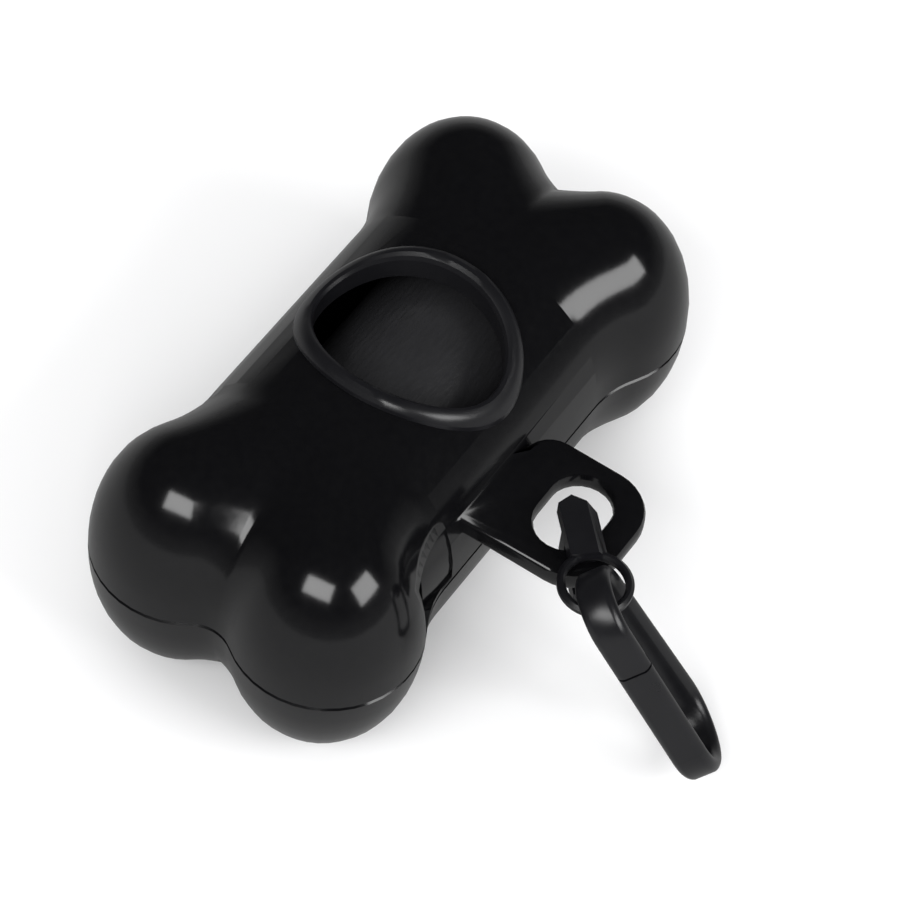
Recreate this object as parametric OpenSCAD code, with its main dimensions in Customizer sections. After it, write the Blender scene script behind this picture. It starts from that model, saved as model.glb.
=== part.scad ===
// Bone-shaped dispenser for rolls of dog waste bags.
// A main body and a pull-off end cap, each made of a front and a back half
// shell, hold a loose roll of bags. The bags leave through an oval outlet in
// the front. A lug on the body's side carries a claw ring and a snap clip.
// Millimetres. +X runs from the cap to the closed end, +Z points to the front,
// and the dispenser lies on its back on z = 0.

/* [Bone outline] */
// Overall length of the closed bone
body_len = 85; // [78:0.5:100]
// Plan radius of each of the four lobes
lobe_r = 12.3; // [11.5:0.1:14]
// Distance between the two lobes at one end, centre to centre
lobe_pitch = 20.4; // [18:0.2:24]
// Width of the neck between the ends
neck_w = 37.8; // [36:0.2:42]
// Plan radius where the neck flows into a lobe
neck_fillet = 13.2; // [10:0.2:18]
// Plan radius at the bottom of the cleft between two lobes
cleft_r = 4.8; // [3:0.1:7]

/* [Depth and section] */
// Height of the front above the parting seam
front_h = 18.3; // [17.6:0.1:22]
// Depth of the back below the parting seam
back_h = 18.1; // [17.6:0.1:22]
// Roundness of the lobes' section, 2 is an ellipse
lobe_round = 2.1; // [2:0.05:2.6]
// Roundness of the neck's section, 2 is an ellipse
neck_round = 2.35; // [2:0.05:2.8]
// Wall of the moulded shells
wall = 1.8; // [1.4:0.1:2]
// Depth of the flat that the back rests on
rest_cut = 0.4; // [0.2:0.1:0.8]
// Chamfer along the seams between the shells
seam = 0.3; // [0.15:0.05:0.5]

/* [Waist and collar] */
// Straight neck left on the cap, from its fillets to the waist seam
cap_neck = 1.5; // [0.5:0.1:3]
// Outer radius of the collar that the cap slides over
collar_r = 15.2; // [14.8:0.1:15.4]
// Wall of the collar
collar_wall = 1.1; // [0.9:0.1:1.2]
// Length of the collar inside the cap
collar_len = 6.5; // [5:0.1:7]
// Radial clearance between the collar and the cap
collar_gap = 0.1; // [0.05:0.01:0.1]
// Thickness of the end walls at the waist
waist_wall = 2.2; // [1.6:0.1:3]

/* [Latch tongues] */
// Length of a tongue past the waist
tongue_len = 6.2; // [4:0.1:8]
// Thickness of a tongue
tongue_t = 1.4; // [1.1:0.1:1.6]
// Lower edge of a tongue above the parting seam
tongue_z0 = 1.4; // [1:0.1:3]
// Width of a tongue
tongue_w = 7.6; // [5:0.1:9]
// Room round a tongue
tongue_gap = 0.45; // [0.3:0.05:0.7]
// Depth of the pocket under a tongue
press_gap = 0.9; // [0.7:0.1:1.1]
// Length of the scooped pocket in the cap
pocket_len = 9.6; // [8.5:0.1:11]
// Thickness of the floor under a pocket
pocket_floor = 1.1; // [0.8:0.1:1.2]

/* [Bag outlet] */
// Distance from the waist seam to the outlet's centre
outlet_dist = 16.6; // [14.5:0.1:18]
// Clear length of the outlet, along the bone
outlet_l = 20.6; // [16:0.2:22]
// Clear width of the outlet, across the bone
outlet_w = 25; // [18:0.2:26]
// Width of the rim bead seen from the front
bead_w = 2.4; // [1.6:0.1:3]
// Height of the rim bead over the shell
bead_h = 1.3; // [0.8:0.1:2]
// Depth of the rim's inner wall below the shell's surface
rim_depth = 2.8; // [2:0.1:3.2]
// Thickness of the rim's inner wall
rim_t = 1; // [0.8:0.1:1.4]

/* [Bag roll] */
// Radius of a full roll
roll_r = 13.4; // [10:0.1:13.6]
// Length of the roll
roll_len = 54; // [48:0.5:55]
// Outer radius of the cardboard core
core_r = 6.5; // [5:0.1:8]
// Wall of the core
core_wall = 0.8; // [0.5:0.1:1.2]
// Air under the roll
roll_gap = 0.35; // [0.25:0.05:0.5]

/* [Lug] */
// Height of the lug's underside above the parting seam
lug_z = 5.8; // [5:0.1:7]
// Thickness of the lug
lug_t = 3; // [2.4:0.1:3.4]
// Width of the lug, along the bone
lug_w = 17.7; // [16:0.1:20]
// Reach of the lug past the neck
lug_reach = 17; // [15:0.1:19]
// Distance from the waist seam to the lug's cap side edge
lug_from_waist = 2.7; // [2:0.1:5]
// Corner radius of the lug
lug_corner = 6.2; // [4:0.1:7]
// Softening of the lug's edges
lug_soft = 0.8; // [0.4:0.1:1]
// Length of the lug's hole, along the bone
hole_l = 11.6; // [10.5:0.1:12]
// Width of the lug's hole
hole_w = 8; // [7.4:0.1:8.6]
// Web between the hole and the lug's outer edge
hole_web = 3.9; // [3.4:0.1:4.6]

/* [Claw ring] */
// Direction of the ring seen from the hole, from the bone's side
claw_turn = 46; // [40:1:50]
// Width of the claw
claw_w = 3.2; // [2.6:0.1:3.6]
// Thickness of the claw
claw_t = 2; // [1.6:0.1:2.4]
// Room between the claw and the lug
claw_gap = 0.9; // [0.8:0.05:1.1]
// Outer radius of the ring
ring_r = 4.7; // [4.5:0.1:5]
// Thickness of the ring
ring_t = 1.4; // [1.3:0.1:1.8]
// Inner radius of the ring
ring_bore = 3.65; // [3.4:0.05:3.7]

/* [Snap clip] */
// Overall length of the clip's loop
loop_len = 34; // [32:0.5:36]
// Clear width inside the loop's wide end
loop_in = 9.5; // [9:0.1:10]
// Clear width inside the loop's narrow end
loop_top = 7; // [6.6:0.1:7.4]
// Thickness of the loop's band
band_t = 2.2; // [1.8:0.1:2.4]
// Width of the loop's band
band_w = 4.5; // [4:0.1:4.6]
// Length of the fixed stub above the gate
stub_len = 5.6; // [5:0.1:7]
// Chamfer along the band's edges
band_edge = 0.4; // [0.2:0.05:0.5]
// Play at the gate's tip
gate_play = 0.3; // [0.2:0.05:0.5]

/* [Hidden] */
$fn = 64;

// Steps of the lofted shells: along a lobe, a fillet, a cleft, and up the side
lobe_steps = 18;
fillet_steps = 6;
side_rows = 10;

// Plan geometry of one end: lobe, fillet and cleft centres
neck_h = neck_w / 2;
lobe_y = lobe_pitch / 2;
lobe_x = body_len / 2 - lobe_r;
cleft_x = lobe_x + sqrt(pow(lobe_r + cleft_r, 2) - pow(lobe_y, 2));
fillet_y = neck_h + neck_fillet;
fillet_x = lobe_x - sqrt(pow(lobe_r + neck_fillet, 2) - pow(fillet_y - lobe_y, 2));

waist_x = -fillet_x + cap_neck;
mid_z = back_h - rest_cut;
far = body_len;
eps = 0.01;

gloss_black = [0.03, 0.03, 0.035];
satin_black = [0.07, 0.07, 0.075];
film_black = [0.06, 0.06, 0.065];
card_brown = [0.62, 0.5, 0.36];

// A point at distance r from centre c, in the direction of point a
function toward(c, a, r) = c + r * (a - c) / norm(a - c);

// Columns of the loft. Each one is [outline point, spine point, share of lobe].
// They run from the neck's -Y side round the +X end to its +Y side, for an
// outline moved inwards by d. The spine is a Y: neck axis, then two branches.
function branch(q, s) = [fillet_x + (lobe_x - fillet_x) * q, s * lobe_y * q];
function fillet_col(q, s, d) =
    [toward([fillet_x, s * fillet_y], branch(q, s), neck_fillet + d), branch(q, s), q];
function cleft_col(q, s, d) =
    [toward([cleft_x, 0], branch(q, s), cleft_r + d), branch(q, s), q];
function lobe_col(a, s, d) =
    [branch(1, s) + (lobe_r - d) * [cos(a), s * sin(a)], branch(1, s), 1];
lobe_a0 = atan2(fillet_y - lobe_y, fillet_x - lobe_x);
lobe_a1 = atan2(-lobe_y, cleft_x - lobe_x);

// The columns of one side, from the neck (k = 0) to the cleft's bottom.
function side_cols(s, d, x0) = concat(
    [[[x0, s * (neck_h - d)], [x0, 0], 0]],
    [for (k = [0 : fillet_steps]) fillet_col(k / fillet_steps, s, d)],
    [for (k = [1 : lobe_steps - 1])
        lobe_col(lobe_a0 + (lobe_a1 - lobe_a0) * k / lobe_steps, s, d)],
    [for (k = [fillet_steps : -1 : 0]) cleft_col(k / fillet_steps, s, d)]);

function reversed(v) = [for (i = [len(v) - 1 : -1 : 0]) v[i]];

// Exponent of the section at a column, and one point of its curve.
function roundness(w) = neck_round + (lobe_round - neck_round) * w;
function section_u(a, w) = pow(cos(a), 2 / roundness(w));
function section_v(a, w) = pow(sin(a), 2 / roundness(w));
function pull(col, u) = col[1] + (col[0] - col[1]) * u;

// Rows of one column: [share of the way to the outline, height].
function rows(col, h, lip, drop) = let (reach = norm(col[0] - col[1])) concat(
    lip > 0 ? [[1 - lip / reach, 0], [1, lip]] : [[1, -drop], [1, 0.3]],
    [for (j = [1 : side_rows - 1]) let (a = 90 * j / side_rows)
        [section_u(a, col[2]), max(h * section_v(a, col[2]), lip + 0.02 * j)]]);

// One end of the bone above the parting seam, from the plane x0 outwards.
// d moves the surface inwards, lip chamfers the seams, drop goes below them.
module end_half(x0, h, d, lip, drop) {
    cols = concat(side_cols(-1, d, x0), reversed(side_cols(1, d, x0)));
    n = len(cols);
    half = n / 2;
    r = side_rows + 1;
    pts = [for (i = [0 : n - 1]) for (row = rows(cols[i], h - d, lip, drop))
        let (p = pull(cols[i], row[0])) [p[0], p[1], row[1]]];
    // Spine points: neck start, then branches shared by fillet and cleft rows
    spine = concat([[x0, 0]],
        [for (k = [0 : fillet_steps]) branch(k / fillet_steps, -1)],
        [for (k = [1 : fillet_steps]) branch(k / fillet_steps, 1)]);
    base = n * r;
    // The floor's inner points lie off the spine, so that no edge of the floor
    // meets a corner of the hollow's outline
    low = len(spine);
    // Which spine point a column of one side ends on, before mirroring
    step_of = [for (i = [0 : half - 1])
        i == 0 ? -1 :
        i <= fillet_steps + 1 ? i - 1 :
        i <= fillet_steps + lobe_steps ? fillet_steps :
        half - 1 - i];
    foot = [for (i = [0 : n - 1]) let (m = i < half ? step_of[i] : step_of[n - 1 - i])
        m == -1 ? base :
        (i < half || m == 0) ? base + 1 + m : base + 1 + fillet_steps + m];
    walls = [for (i = [0 : n - 2]) if (i != half - 1) for (j = [0 : r - 2])
        for (t = [[i * r + j, (i + 1) * r + j, (i + 1) * r + j + 1],
            [i * r + j, (i + 1) * r + j + 1, i * r + j + 1]]) t];
    tops = [for (i = [0 : n - 2]) if (i != half - 1)
        for (t = foot[i] == foot[i + 1]
            ? [[i * r + r - 1, (i + 1) * r + r - 1, foot[i]]]
            : [[i * r + r - 1, (i + 1) * r + r - 1, foot[i + 1]],
                [i * r + r - 1, foot[i + 1], foot[i]]]) t];
    // The two middle columns lie on each other, so one set of points is used
    function weld(k) = (k >= half * r && k < (half + 1) * r) ? k - r : k;
    floors = [for (i = [0 : n - 2]) if (i != half - 1)
        for (t = foot[i] == foot[i + 1]
            ? [[i * r, foot[i] + low, (i + 1) * r]]
            : [[i * r, foot[i + 1] + low, (i + 1) * r],
                [i * r, foot[i] + low, foot[i + 1] + low]]) t];
    start_face = concat([for (j = [0 : r - 1]) j], [base],
        [for (j = [r - 1 : -1 : 0]) (n - 1) * r + j], [base + low]);
    polyhedron(concat(pts, [for (p = spine) [p[0], p[1], h - d]],
        [for (p = spine) [p[0] + (p[0] > x0 ? 0.83 : 0), p[1] + 0.61, lip > 0 ? 0 : -drop]]),
        concat([for (t = concat(walls, tops, floors)) [weld(t[2]), weld(t[1]), weld(t[0])]],
            [reversed(start_face)]), convexity = 6);
}

// The neck's section between two planes, moved inwards by d, front half.
function neck_points(d, h) = concat(
    [for (j = [0 : 24]) let (a = 180 * j / 24, c = cos(a))
        [-sign(c) * pow(abs(c), 2 / neck_round) * (neck_h - d),
            pow(sin(a), 2 / neck_round) * (h - d)]]);

module neck_bar(x0, x1, d, h) {
    translate([x0, 0, 0])
        rotate([90, 0, 90])
            linear_extrude(height = x1 - x0)
                polygon(neck_points(d, h));
}

module bone_cylinder(x0, x1, r) {
    translate([x0, 0, 0])
        rotate([0, 90, 0])
            cylinder(r = r, h = x1 - x0, $fn = 96);
}

// Half of the main body or of the cap, with its hollow, above z = 0.
module body_half(h) {
    difference() {
        end_half(waist_x, h, 0, seam, 0);
        end_half(waist_x + waist_wall, h, wall, 0, 1);
        bone_cylinder(waist_x - 1, waist_x + waist_wall + 1, collar_r - collar_wall);
    }
    // Collar, half of a tube, rooted in the wall at the waist
    intersection() {
        difference() {
            bone_cylinder(waist_x - collar_len, waist_x + waist_wall, collar_r);
            bone_cylinder(waist_x - far, waist_x + far, collar_r - collar_wall);
        }
        translate([-far, -far, 0])
            cube([2 * far, 2 * far, far]);
    }
}

// The cap's children stay solid inside its hollow
module cap_half(h) {
    difference() {
        mirror([1, 0, 0])
            end_half(-waist_x, h, 0, seam, 0);
        difference() {
            mirror([1, 0, 0])
                end_half(-waist_x + waist_wall, h, wall, 0, 1);
            children();
        }
        bone_cylinder(waist_x - waist_wall - 1, waist_x + 1, collar_r + collar_gap);
    }
}

module both_sides() {
    children();
    mirror([0, 1, 0])
        children();
}

module at_front() {
    translate([0, 0, mid_z])
        children();
}

module at_back() {
    translate([0, 0, mid_z])
        mirror([0, 0, 1])
            children();
}

module rest_plane() {
    translate([-far, -far, -far])
        cube([2 * far, 2 * far, far]);
}

outlet_x = waist_x + outlet_dist;
outlet_steps = 64;

// An oval prism, used to cut the shell where the rim is pressed in
module oval(l, w, z0, z1) {
    translate([outlet_x, 0, z0])
        linear_extrude(height = z1 - z0)
            polygon([for (k = [0 : outlet_steps - 1]) let (a = 360 * k / outlet_steps)
                [l / 2 * cos(a), w / 2 * sin(a)]]);
}

module body_front_shell() {
    color(gloss_black) at_front() {
        difference() {
            body_half(front_h);
            oval(outlet_l + 2 * rim_t, outlet_w + 2 * rim_t, front_h / 3, far);
        }
        lug();
    }
}

module body_back_shell() {
    color(gloss_black) difference() {
        at_back() body_half(back_h);
        rest_plane();
    }
}

// Pocket in the cap's side for a tongue, on the -Y side
pocket_z0 = tongue_z0 - tongue_gap;
pocket_z1 = tongue_z0 + tongue_w + tongue_gap;
pocket_d = tongue_t + press_gap;

module pocket_cut() {
    difference() {
        translate([waist_x - pocket_len, -far, pocket_z0])
            cube([pocket_len + 1, far, pocket_z1 - pocket_z0]);
        neck_bar(waist_x - pocket_len - 1, waist_x + 2, pocket_d, front_h);
    }
}

// Floor and walls that back the pocket inside the shell
module pocket_back() {
    x0 = waist_x - pocket_len - wall;
    difference() {
        translate([x0, -far, pocket_z0 - wall])
            cube([pocket_len + wall, far, pocket_z1 - pocket_z0 + 2 * wall]);
        neck_bar(x0 - 1, waist_x + 1, pocket_d + pocket_floor, front_h);
    }
}

module cap_front_shell() {
    color(gloss_black) at_front() difference() {
        cap_half(front_h)
            both_sides() pocket_back();
        both_sides()
            pocket_cut();
    }
}

module cap_back_shell() {
    color(gloss_black) difference() {
        at_back() cap_half(back_h);
        rest_plane();
    }
}

// One snap tongue, rooted on the body's end wall at the waist, -Y side
module tongue() {
    intersection() {
        difference() {
            neck_bar(waist_x - tongue_len, waist_x, seam, front_h);
            neck_bar(waist_x - tongue_len - 1, waist_x + 1, seam + tongue_t, front_h);
        }
        translate([waist_x - tongue_len, -far, tongue_z0])
            cube([tongue_len, far, tongue_w]);
    }
}

module latch_tongue_near() {
    color(gloss_black) at_front() tongue();
}

module latch_tongue_far() {
    color(gloss_black) at_front() mirror([0, 1, 0]) tongue();
}

// Height of the neck's front surface over the parting seam at a distance y
function neck_z(y) =
    front_h * pow(1 - pow(min(abs(y) / neck_h, 1), neck_round), 1 / neck_round);

// Section of the outlet's rim: distance out from the clear opening, height
rim_section = [
    [0, -rim_depth], [0, bead_h * 0.25], [bead_w * 0.12, bead_h * 0.7],
    [bead_w * 0.32, bead_h * 0.96], [bead_w * 0.55, bead_h],
    [bead_w * 0.8, bead_h * 0.8], [bead_w * 0.95, bead_h * 0.4], [bead_w, 0],
    [rim_t, 0], [rim_t, -rim_depth]
];

module outlet_rim() {
    s = len(rim_section);
    pts = [for (k = [0 : outlet_steps - 1]) for (q = rim_section)
        let (a = 360 * k / outlet_steps,
            x = (outlet_l / 2 + q[0]) * cos(a), y = (outlet_w / 2 + q[0]) * sin(a))
        [outlet_x + x, y, neck_z(y) + q[1]]];
    color(satin_black) at_front()
        polyhedron(pts, [for (k = [0 : outlet_steps - 1]) for (j = [0 : s - 1])
            let (k1 = (k + 1) % outlet_steps, j1 = (j + 1) % s)
            for (t = [[k * s + j, k * s + j1, k1 * s + j1],
                [k * s + j, k1 * s + j1, k1 * s + j]]) t], convexity = 6);
}

// Bag roll, lying loose on the collar and the back wall
roll_z = mid_z - (collar_r - collar_wall - roll_gap - roll_r);
roll_x = 0;

module bag_roll() {
    color(film_black)
        translate([roll_x - roll_len / 2, 0, roll_z])
            rotate([0, 90, 0])
                difference() {
                    cylinder(r = roll_r, h = roll_len, $fn = 96);
                    translate([0, 0, -1])
                        cylinder(r = core_r, h = roll_len + 2);
                }
}

module roll_core() {
    color(card_brown)
        translate([roll_x - roll_len / 2, 0, roll_z])
            rotate([0, 90, 0])
                difference() {
                    cylinder(r = core_r, h = roll_len);
                    translate([0, 0, -1])
                        cylinder(r = core_r - core_wall, h = roll_len + 2);
                }
}

// Lug plate: a rounded outline, lofted so that its edges are soft
lug_x0 = waist_x + lug_from_waist;
lug_x1 = lug_x0 + lug_w;
lug_y1 = -(neck_h + lug_reach);
lug_root = -(neck_h - wall);
hole_x = lug_x0 + lug_w / 2 + 0.45;
hole_y = lug_y1 + hole_web + hole_w / 2;

// Rounded corner: points of an arc round c from angle a to b
function arc(c, r, a, b, n) = [for (k = [0 : n]) c + r * [cos(a + (b - a) * k / n),
    sin(a + (b - a) * k / n)]];

root_corner = 4;
function lug_outline(d) = concat(
    [[lug_x0 + d, lug_root]],
    arc([lug_x0 + lug_corner, lug_y1 + lug_corner], lug_corner - d, 180, 270, 8),
    arc([lug_x1 - lug_corner, lug_y1 + lug_corner], lug_corner - d, 270, 360, 8),
    arc([lug_x1 - root_corner, -neck_h - root_corner + 1], root_corner - d, 0, 90, 6),
    [[lug_x1 - root_corner - 2, lug_root]]);

// Layers of the plate: [inset, height]
lug_layers = [
    [lug_soft, 0], [lug_soft * 0.3, lug_soft * 0.3], [0, lug_soft],
    [0, lug_t - lug_soft], [lug_soft * 0.3, lug_t - lug_soft * 0.3], [lug_soft, lug_t]
];

module stack(layers) {
    n = len(layers[0]);
    m = len(layers);
    pts = [for (l = layers) for (p = l) p];
    polyhedron(pts, concat(
        [[for (i = [0 : n - 1]) i]],
        [for (j = [0 : m - 2]) for (i = [0 : n - 1]) let (i1 = (i + 1) % n)
            for (t = [[j * n + i, (j + 1) * n + i1, j * n + i1],
                [j * n + i, (j + 1) * n + i, (j + 1) * n + i1]]) t],
        [[for (i = [n - 1 : -1 : 0]) (m - 1) * n + i]]), convexity = 4);
}

// Slot through the lug, wider at both faces
function slot_outline(d) = concat(
    arc([(hole_l - hole_w) / 2, 0], hole_w / 2 + d, -90, 90, 12),
    arc([-(hole_l - hole_w) / 2, 0], hole_w / 2 + d, 90, 270, 12));
slot_layers = [
    [lug_soft * 2, -lug_soft], [lug_soft, 0], [lug_soft * 0.3, lug_soft * 0.3],
    [0, lug_soft], [0, lug_t - lug_soft], [lug_soft * 0.3, lug_t - lug_soft * 0.3],
    [lug_soft, lug_t], [lug_soft * 2, lug_t + lug_soft]
];

module lug() {
    difference() {
        translate([0, 0, lug_z])
            stack([for (l = lug_layers) [for (p = lug_outline(l[0])) [p[0], p[1], l[1]]]]);
        translate([hole_x, hole_y, lug_z])
            stack([for (l = slot_layers) [for (p = slot_outline(l[0]))
                [p[0], p[1], l[1]]]]);
        // Keep the body's hollow clear
        neck_bar(waist_x + waist_wall, waist_x + far / 2, wall, front_h);
    }
}

// Claw ring. Its own frame: origin in the middle of the lug's rim where the
// claw grips it, +X outwards over the lug's corner, +Z up.
hole_end = [hole_x - (hole_l - hole_w) / 2, hole_y];
claw_dir = [-sin(claw_turn), -cos(claw_turn)];
claw_side = [cos(claw_turn), -sin(claw_turn)];
rim_w = hole_web + 0.5;
grip = hole_end + (hole_w / 2 + rim_w / 2 - 0.2) * claw_dir + 1.25 * claw_side;
claw_in = rim_w / 2 + 1.9;
claw_top = lug_t / 2 + claw_gap;
ring_x = 4.6;
leg_z = -claw_top - claw_t;

module claw_ring() {
    color(satin_black)
        translate([grip[0], grip[1], mid_z + lug_z + lug_t / 2])
            rotate([0, 0, -90 - claw_turn])
                claw_body();
}

module claw_body() {
    // Ring, lying on the level of the claw's upper leg
    translate([ring_x, 0, claw_top])
        rotate_extrude($fn = 64)
            polygon([[ring_bore, 0.4], [ring_bore + 0.3, 0], [ring_r - 0.4, 0],
                [ring_r, 0.4], [ring_r, ring_t - 0.4], [ring_r - 0.4, ring_t],
                [ring_bore + 0.3, ring_t], [ring_bore, ring_t - 0.4]]);
    // Upper leg: a gable tip over the hole, a flat and one steep side
    difference() {
        translate([0, 0, claw_top])
            linear_extrude(height = claw_t)
                polygon([[-7.8, -0.6], [-5.8, 2.4], [ring_x - 3.7, 2.4],
                    [ring_x - 3.7, -2.4], [-6.8, -2.4]]);
        // The steep side
        translate([0, 1.1, claw_top + claw_t])
            rotate([-50, 0, 0])
                translate([-far / 2, 0, 0])
                    cube([far, 6, 6]);
    }
    // Inner wall and lower leg of the claw
    translate([-claw_in - claw_t, -claw_w / 2, leg_z])
        cube([claw_t, claw_w, 2 * claw_top + claw_t + 0.5]);
    translate([-claw_in - claw_t, -claw_w / 2, leg_z])
        cube([claw_in + claw_t + rim_w / 2, claw_w, claw_t]);
}

// Snap clip. Its own frame: +X from the top bend to the far end, +Y from the
// gate to the spine, +Z across the band.
loop_out = loop_in / 2 + band_t;
loop_run = loop_len - loop_out - loop_top / 2 - band_t;
clip_yaw = -79;
clip_seat = [1, 2, 0];
clip_dip = 55.8;
clip_roll = -29.6;
ring_at = grip + ring_x * claw_dir;
hang = [-0.62, -0.78];
hang_r = (ring_r + ring_bore) / 2;
hang_z = mid_z + lug_z + lug_t / 2 + claw_top + ring_t / 2;
hang_at = [ring_at[0] + hang_r * hang[0], ring_at[1] + hang_r * hang[1], hang_z];

module in_clip() {
    translate(hang_at)
        rotate([0, 0, clip_yaw])
            rotate([0, clip_dip, 0])
                rotate([clip_roll, 0, 0])
                    translate(clip_seat)
                        children();
}

// A tapered loop: two round ends and their common tangents
loop_shift = -(loop_in - loop_top) / 2;
loop_far = norm([loop_run, loop_shift]);
loop_a = atan2(-loop_shift, loop_run);
loop_b = asin((loop_in - loop_top) / 2 / loop_far);

loop_steps = 24;
function loop_arc(c, r, a0, a1) = [for (k = [0 : loop_steps])
    let (a = a0 + (a1 - a0) * k / loop_steps) c + r * [cos(a), sin(a)]];

module loop_plate(d) {
    a0 = loop_a - 90 - loop_b;
    a1 = loop_a + 90 + loop_b;
    polygon(concat(loop_arc([loop_run, 0], loop_in / 2 + d, a0, a1),
        loop_arc([0, loop_shift], loop_top / 2 + d, a1, a0 + 360)));
}

module loop_area(out, in) {
    difference() {
        loop_plate(out);
        loop_plate(in);
    }
}

module loop_band() {
    translate([0, 0, -band_w / 2 + band_edge])
        linear_extrude(height = band_w - 2 * band_edge)
            loop_area(band_t, 0);
    for (z = [-band_w / 2, band_w / 2 - band_edge])
        translate([0, 0, z])
            linear_extrude(height = band_edge)
                loop_area(band_t - band_edge, band_edge);
}

gate_x0 = stub_len;
gate_x1 = loop_run;
gate_lap = 1.6;

module gate_space(x0, x1) {
    translate([x0, -loop_out - 1, -band_w])
        cube([x1 - x0, band_t + 2, 2 * band_w]);
}

module clip_frame() {
    color(satin_black) in_clip() difference() {
        loop_band();
        gate_space(gate_x0, gate_x1);
        // Undercut that the gate's tip closes against
        translate([gate_x0 - gate_lap, -loop_out + band_t / 2, -band_w])
            cube([gate_lap + 1, band_t, 2 * band_w]);
    }
}

module clip_gate() {
    color(satin_black) in_clip() {
        intersection() {
            loop_band();
            gate_space(gate_x0 + gate_play, gate_x1);
        }
        // Tip that laps behind the stub
        translate([gate_x0 - gate_lap + gate_play, -loop_out + band_t / 2 + gate_play / 2,
            -band_w / 2 + band_edge])
            cube([gate_lap + 1, band_t / 2 - gate_play / 2, band_w - 2 * band_edge]);
    }
}

body_front_shell();
body_back_shell();
cap_front_shell();
cap_back_shell();
outlet_rim();
latch_tongue_near();
latch_tongue_far();
bag_roll();
roll_core();
claw_ring();
clip_frame();
clip_gate();
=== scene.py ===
# %% [markdown]
# # A bone-shaped dispenser for dog waste bags
# The dispenser is two pairs of glossy black shells, a pull-off cap and a body,
# that hold a roll of bags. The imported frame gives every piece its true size
# and place, in metres. This lesson adds a camera, finishes and soft light.

# %% Load the frame
import math

import bpy
import bmesh
from mathutils import Matrix, Vector


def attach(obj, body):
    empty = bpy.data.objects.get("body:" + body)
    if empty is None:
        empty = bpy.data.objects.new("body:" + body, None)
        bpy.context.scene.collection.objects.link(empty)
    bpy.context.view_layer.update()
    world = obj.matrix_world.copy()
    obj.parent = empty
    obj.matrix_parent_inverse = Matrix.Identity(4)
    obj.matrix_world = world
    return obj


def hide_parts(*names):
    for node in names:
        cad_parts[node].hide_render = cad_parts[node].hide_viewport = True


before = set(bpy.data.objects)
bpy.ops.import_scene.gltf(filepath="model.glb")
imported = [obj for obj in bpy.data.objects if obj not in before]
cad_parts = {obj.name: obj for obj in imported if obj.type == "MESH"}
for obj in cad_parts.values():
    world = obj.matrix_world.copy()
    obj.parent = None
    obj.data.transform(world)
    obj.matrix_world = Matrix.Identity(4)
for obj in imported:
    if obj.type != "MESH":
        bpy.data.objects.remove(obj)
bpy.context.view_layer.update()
scene = bpy.context.scene
scene.view_settings.view_transform = "Standard"

# %% [markdown]
# ## The camera
# The view was fitted to the outline of the bone. It looks down on the front
# from the cap's side with a long lens, and is turned by 7 degrees. The three
# rows are the camera's own right, up and backward directions.

# %% The camera
MM = 0.001
CENTRE = Vector((0, 0, 17.7)) * MM
RIGHT = Vector((0.5574, -0.8271, 0.0727))
UP = Vector((0.6437, 0.4858, 0.5913))
BACK = Vector((-0.5244, -0.2828, 0.8031))
DISTANCE = 539.73 * MM

camera = bpy.data.objects.new("camera", bpy.data.cameras.new("camera"))
scene.collection.objects.link(camera)
turn = Matrix((RIGHT, UP, BACK)).transposed()
camera.matrix_world = Matrix.Translation(CENTRE + BACK * DISTANCE) @ turn.to_4x4()
camera.data.lens = 172.25
camera.data.shift_x = 0.0610
camera.data.shift_y = -0.0303
camera.data.clip_start = 0.01
scene.camera = camera
print("camera at", [round(v, 3) for v in camera.location])

# %% [markdown]
# ## Writing shader maths as Python
# A small class wraps a socket, so that sums and products of values read as
# they would on paper.

# %% A socket that can be added and multiplied
class Value:
    def __init__(self, tree, socket):
        self.tree, self.socket = tree, socket

    def maths(self, operation, *others, first=None):
        node = self.tree.nodes.new("ShaderNodeMath")
        node.operation = operation
        terms = (self if first is None else first, *others)
        for socket, term in zip(node.inputs, terms):
            plug(self.tree, term, socket)
        return Value(self.tree, node.outputs[0])

    def __add__(self, other):
        return self.maths("ADD", other)

    __radd__ = __add__

    def __mul__(self, other):
        return self.maths("MULTIPLY", other)

    def __sub__(self, other):
        return self.maths("SUBTRACT", other)

    def __rsub__(self, other):
        return self.maths("SUBTRACT", self, first=other)

    def between(self, low, high):
        share = self.maths("SUBTRACT", low).maths("DIVIDE", high - low)
        return share.maths("MAXIMUM", 0).maths("MINIMUM", 1)


def plug(tree, value, socket):
    if isinstance(value, Value):
        tree.links.new(value.socket, socket)
    else:
        socket.default_value = value


# %% [markdown]
# A finish is a material round one Principled shader. Its `node` method adds
# any other node: keywords name the node's inputs, and `out` picks the output.

# %% A material built node by node
POSITION = 3  # Object coordinates, an output of Texture Coordinate


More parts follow.
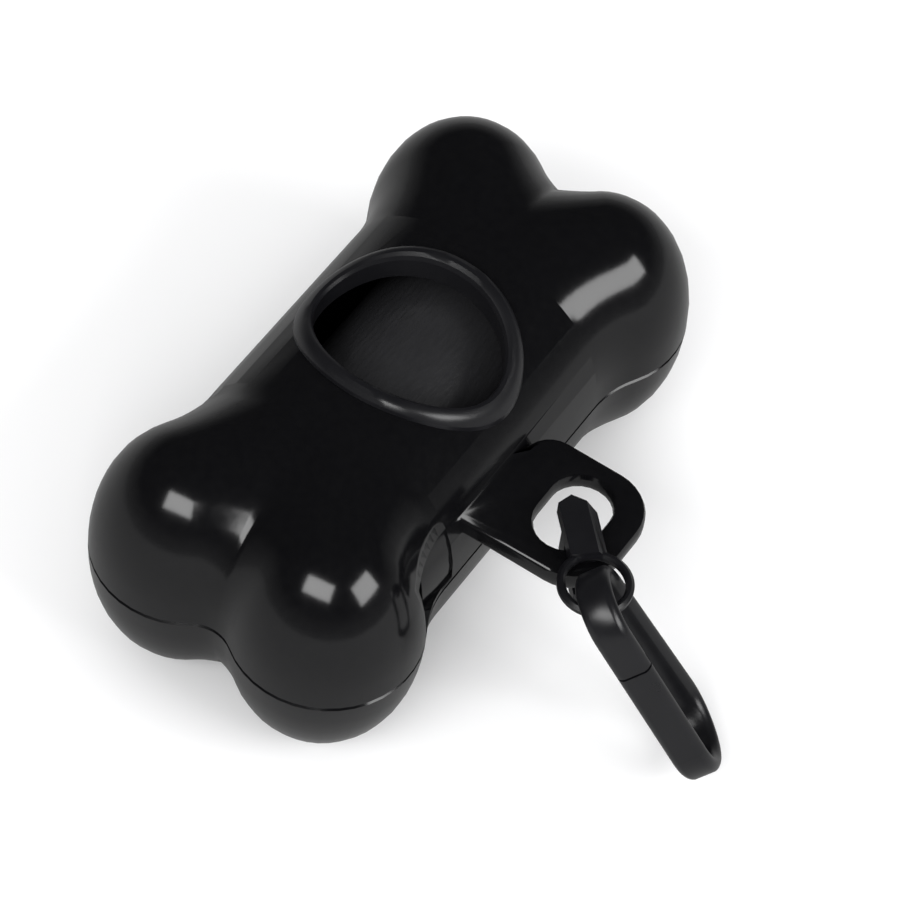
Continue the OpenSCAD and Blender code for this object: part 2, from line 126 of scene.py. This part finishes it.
class Finish:
    def __init__(self, name, **constants):
        self.material = bpy.data.materials.new(name)
        self.material.use_nodes = True
        self.tree = self.material.node_tree
        self.shader = self.tree.nodes["Principled BSDF"]
        for key, value in constants.items():
            self.shader.inputs[key.replace("_", " ")].default_value = value

    def node(self, kind, out=0, settings=None, **inputs):
        made = self.tree.nodes.new(kind)
        for key, value in (settings or {}).items():
            setattr(made, key, value)
        for key, value in inputs.items():
            plug(self.tree, value, made.inputs[key.replace("_", " ")])
        return Value(self.tree, made.outputs[out])

    def place(self):
        return self.node("ShaderNodeTexCoord", POSITION)

    def stretched(self, scale):
        return self.node("ShaderNodeMapping", Vector=self.place(), Scale=scale)

    def noise(self, scale, detail, where=None):
        return self.node("ShaderNodeTexNoise", Vector=where or self.place(),
                         Scale=scale, Detail=detail)

    def shades(self, mask, dark, light):
        mixer = self.tree.nodes.new("ShaderNodeMix")
        mixer.data_type = "RGBA"
        for socket, value in ((0, mask), (6, (*dark, 1)), (7, (*light, 1))):
            plug(self.tree, value, mixer.inputs[socket])
        self.feed("Base Color", Value(self.tree, mixer.outputs[2]))

    def bump(self, height, strength, distance):
        self.feed("Normal", self.node("ShaderNodeBump", Height=height,
                                      Strength=strength, Distance=distance))

    def feed(self, socket, value):
        plug(self.tree, value, self.shader.inputs[socket])


# %% [markdown]
# ## Finishes
# The shells are polished black plastic: nearly mirror-smooth, with the faint
# waviness of a moulding and a fine unevenness in the gloss.

# %% Polished shells
PLASTIC_IOR = 1.49
gloss = Finish("polished_black_shell", IOR=PLASTIC_IOR)
flow = gloss.noise(90.0, 2.0)
haze = gloss.noise(900.0, 4.0)
gloss.shades(haze, (0.002, 0.002, 0.0025), (0.004, 0.004, 0.0045))
gloss.feed("Roughness", 0.09 + haze * 0.05 + flow * 0.05)
gloss.bump(flow + haze * 0.06, 0.10, 0.0006)
print("made", gloss.material.name)

# %% [markdown]
# The rim, the claw ring and the clip are moulded in a satin black that is a
# little rougher, with a fine grain.

# %% Satin trim
satin = Finish("satin_black_trim", IOR=PLASTIC_IOR)
grain = satin.noise(5200.0, 3.0)
cloud = satin.noise(240.0, 3.0)
satin.shades(cloud, (0.004, 0.004, 0.005), (0.007, 0.007, 0.0085))
satin.feed("Roughness", 0.22 + cloud * 0.12 + grain * 0.04)
satin.bump(grain, 0.12, 0.00005)
print("made", satin.material.name)

# %% [markdown]
# The bags are thin polythene film wound on a cardboard core. Tight film shows
# soft creases along the roll, and its ends show the turns as fine rings.

# %% Wound film
ROLL_Z = 17.35 * MM  # height of the roll's axis, which lies along X

film = Finish("black_bag_film", IOR=1.5)
along = film.stretched((0.35, 1, 1))
crease = film.noise(230.0, 5.0, along)
fine = film.noise(1600.0, 4.0, along)
sideways = film.node("ShaderNodeSeparateXYZ", 1, Vector=film.place())
upwards = film.node("ShaderNodeSeparateXYZ", 2, Vector=film.place()) - ROLL_Z
radius = (sideways * sideways + upwards * upwards).maths("SQRT")
rings = film.node("ShaderNodeTexNoise", settings={"noise_dimensions": "1D"},
                  W=radius * 1400)
film.shades(fine * 0.5 + rings * 0.5, (0.012, 0.012, 0.013), (0.024, 0.024, 0.026))
film.feed("Roughness", 0.26 + crease * 0.2)
film.bump(crease + fine * 0.25 + rings * 0.6, 0.5, 0.0007)
print("made", film.material.name)

# %% Cardboard
card = Finish("wound_cardboard")
weave = card.noise(2600.0, 4.0, card.stretched((0.15, 1, 1)))
card.shades(weave, (0.25, 0.17, 0.1), (0.44, 0.33, 0.21))
card.feed("Roughness", 0.8 + weave * 0.15)
card.bump(weave, 0.3, 0.0001)
print("made", card.material.name)

# %% [markdown]
# ## Smooth skins
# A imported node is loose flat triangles. A copy is merged at its corners, and
# its slivers are joined into the flat faces that they came from. It is then
# shaded smooth up to a fold, so that the gloss runs unbroken over the curves
# while seams and steps stay crisp. The copy stands for the node, in exactly
# its place.

# %% Show a piece in place of a node
SAME_POINT = 2e-6  # corners closer than this are one, in metres
FLAT = 0.4  # degrees between triangles of one flat face
SHELL_FOLD, TONGUE_FOLD, TRIM_FOLD, CLIP_FOLD = 32, 50, 22, 35


def show(piece, finish, fold, node, body):
    bpy.ops.object.select_all(action="DESELECT")
    piece.select_set(True)
    bpy.context.view_layer.objects.active = piece
    bpy.ops.object.shade_smooth_by_angle(angle=math.radians(fold))
    piece.data.materials.clear()
    piece.data.materials.append(finish.material)
    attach(piece, body)
    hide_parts(node)
    print(piece.name, len(piece.data.polygons), "faces")


# %% Dress a node with a smooth copy
def dress(node, body, finish, fold=SHELL_FOLD):
    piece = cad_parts[node].copy()
    piece.data = piece.data.copy()
    piece.name = node + "_skin"
    piece.parent = None
    piece.matrix_world = Matrix.Identity(4)
    scene.collection.objects.link(piece)
    mesh = bmesh.new()
    mesh.from_mesh(piece.data)
    bmesh.ops.remove_doubles(mesh, verts=mesh.verts, dist=SAME_POINT)
    bmesh.ops.dissolve_limit(mesh, angle_limit=math.radians(FLAT),
                             verts=mesh.verts, edges=mesh.edges)
    mesh.to_mesh(piece.data)
    mesh.free()
    show(piece, finish, fold, node, body)


for half in ("body_front", "body_back", "cap_front", "cap_back"):
    dress(half + "_shell", half.split("_")[0], gloss)
for side in ("near", "far"):
    dress("latch_tongue_" + side, "tongue_" + side, gloss, TONGUE_FOLD)
dress("outlet_rim", "body", satin, TRIM_FOLD)
dress("claw_ring", "claw", satin, TRIM_FOLD)
dress("roll_core", "roll", card)
dress("bag_roll", "roll", film)

# %% [markdown]
# ## The clip
# The clip is a flat loop with soft edges, moulded in one with its spring
# gate. It is drawn as an outline in its own plane, in millimetres. X runs down
# the clip, from the round top that hangs in the ring to the larger far end.

# %% The clip's plane and sizes
def turned(axis, degrees):
    return Matrix.Rotation(math.radians(degrees), 4, axis)


CLIP_PLACE = (Matrix.Scale(MM, 4) @ Matrix.Translation((-14.7823, -39.5191, 28.1))
              @ turned("Z", -79) @ turned("Y", 55.8) @ turned("X", -29.6)
              @ Matrix.Translation((1, 2, 0)))
RUN = 21.35  # between the centres of the two round ends
END_R, TOP_R = 4.75, 3.5  # inside radii of the far end and the top
SHIFT = TOP_R - END_R  # keeps the gate's side straight
THICK, WIDE = 2.2, 4.5
STUB, LAP, PLAY = 5.6, 1.6, 0.3  # where the gate's tip meets and laps the loop
EDGE, EDGE_STEPS, EDGE_SHAPE = 0.95, 6, 0.4

OUT = -END_R - THICK
LAP_Y = OUT + (THICK + PLAY) / 2
LEAN = 90 + 2 * math.degrees(math.atan2(-SHIFT, RUN))


def arc(x, y, radius, start, end, steps=36):
    angles = [math.radians(start + (end - start) * k / steps) for k in range(steps + 1)]
    return [(x + radius * math.cos(a), y + radius * math.sin(a)) for a in angles]


# %% [markdown]
# The outline is made thick, and only its long edges are rounded. Edges across
# the arm, and the short step where the gate laps the loop, stay sharp.

# %% A thick outline with rounded long edges
def is_long(edge):
    a, b = (v.co for v in edge.verts)
    in_rim = abs(a.z - b.z) < 0.01
    across = abs(a.x - b.x) < 0.001
    in_lap = abs(a.y - LAP_Y) < 0.2 and abs(b.y - LAP_Y) < 0.2
    return in_rim and not across and not in_lap


def moulded(name, outline, node, body):
    mesh = bmesh.new()
    base = mesh.faces.new([mesh.verts.new((x, y, -WIDE / 2)) for x, y in outline])
    top = bmesh.ops.extrude_face_region(mesh, geom=[base])["geom"]
    bmesh.ops.translate(mesh, vec=(0, 0, WIDE),
                        verts=[v for v in top if isinstance(v, bmesh.types.BMVert)])
    bmesh.ops.bevel(mesh, geom=[e for e in mesh.edges if is_long(e)], offset=EDGE,
                    segments=EDGE_STEPS, profile=EDGE_SHAPE, affect="EDGES")
    bmesh.ops.recalc_face_normals(mesh, faces=mesh.faces)
    mesh.transform(CLIP_PLACE)
    piece = bpy.data.objects.new(name, bpy.data.meshes.new(name))
    mesh.to_mesh(piece.data)
    mesh.free()
    scene.collection.objects.link(piece)
    show(piece, satin, CLIP_FOLD, node, body)


# %% The loop and its gate
loop = (arc(RUN, 0, END_R + THICK, -90, LEAN)
        + arc(0, SHIFT, TOP_R + THICK, LEAN, 270)
        + [(STUB, OUT), (STUB, OUT + THICK / 2), (STUB - LAP, OUT + THICK / 2),
           (STUB - LAP, -END_R)]
        + arc(0, SHIFT, TOP_R, 270, LEAN) + arc(RUN, 0, END_R, LEAN, -90))
gate = [(STUB + PLAY, OUT), (RUN, OUT), (RUN, -END_R), (STUB - LAP + PLAY, -END_R),
        (STUB - LAP + PLAY, LAP_Y), (STUB + PLAY, LAP_Y)]
moulded("clip_loop", loop, "clip_frame", "clip")
moulded("clip_spring_gate", gate, "clip_gate", "gate")

# %% [markdown]
# ## Floor and light
# The dispenser lies on a white table in a white studio. The camera sees both
# as white. Glossy surfaces see them darker, and two soft boxes on the lug's
# side make the highlights.

# %% The floor
GLOSSY_RAY = 3  # an output of Light Path

bpy.ops.object.select_all(action="DESELECT")
bpy.ops.mesh.primitive_plane_add(size=6, location=(0, 0, 0))
floor = bpy.context.object
floor.name = "floor"
paper = Finish("white_table", Roughness=0.9)
paper.shades(paper.node("ShaderNodeLightPath", GLOSSY_RAY), (0.9, 0.9, 0.905),
             (0.3, 0.3, 0.3))
floor.data.materials.append(paper.material)
print("floor ready")

# %% The studio
HORIZON = 0.34  # sine of the elevation where the pale band ends

scene.world = bpy.data.worlds.new("studio")
scene.world.use_nodes = True
tree = scene.world.node_tree
path = tree.nodes.new("ShaderNodeLightPath")
place = tree.nodes.new("ShaderNodeTexCoord")
split = tree.nodes.new("ShaderNodeSeparateXYZ")
tree.links.new(place.outputs["Generated"], split.inputs[0])
low = 1 - Value(tree, split.outputs[2]).between(0.0, HORIZON)
is_camera, is_glossy, is_clear = (
    Value(tree, path.outputs[f"Is {kind} Ray"])
    for kind in ("Camera", "Glossy", "Transmission"))
seen = is_camera.maths("MAXIMUM", is_clear)
unseen = is_glossy * (0.02 + low * 0.2) + (1 - is_glossy) * 0.8
sky = tree.nodes["Background"]
sky.inputs["Color"].default_value = (1, 1, 1, 1)
plug(tree, seen + (1 - seen) * unseen, sky.inputs["Strength"])
print("studio ready")

# %% [markdown]
# A soft box is placed by where it is seen from the bone: its azimuth, from -Y
# towards +X, and its elevation, both in degrees.

# %% The soft boxes
BOX_DISTANCE = 0.7


def softbox(name, azimuth, elevation, width, height, power):
    a, e = math.radians(azimuth), math.radians(elevation)
    way = Vector((math.sin(a) * math.cos(e), -math.cos(a) * math.cos(e), math.sin(e)))
    lamp = bpy.data.objects.new(name, bpy.data.lights.new(name, "AREA"))
    lamp.data.shape = "RECTANGLE"
    lamp.data.size, lamp.data.size_y = width, height
    lamp.data.energy = power
    lamp.matrix_world = (Matrix.Translation(CENTRE + way * BOX_DISTANCE)
                         @ way.to_track_quat("Z", "Y").to_matrix().to_4x4())
    scene.collection.objects.link(lamp)


softbox("box_front", 3, 34, 0.42, 0.3, 2.6)
softbox("box_side", -82, 46, 0.5, 0.26, 2.9)
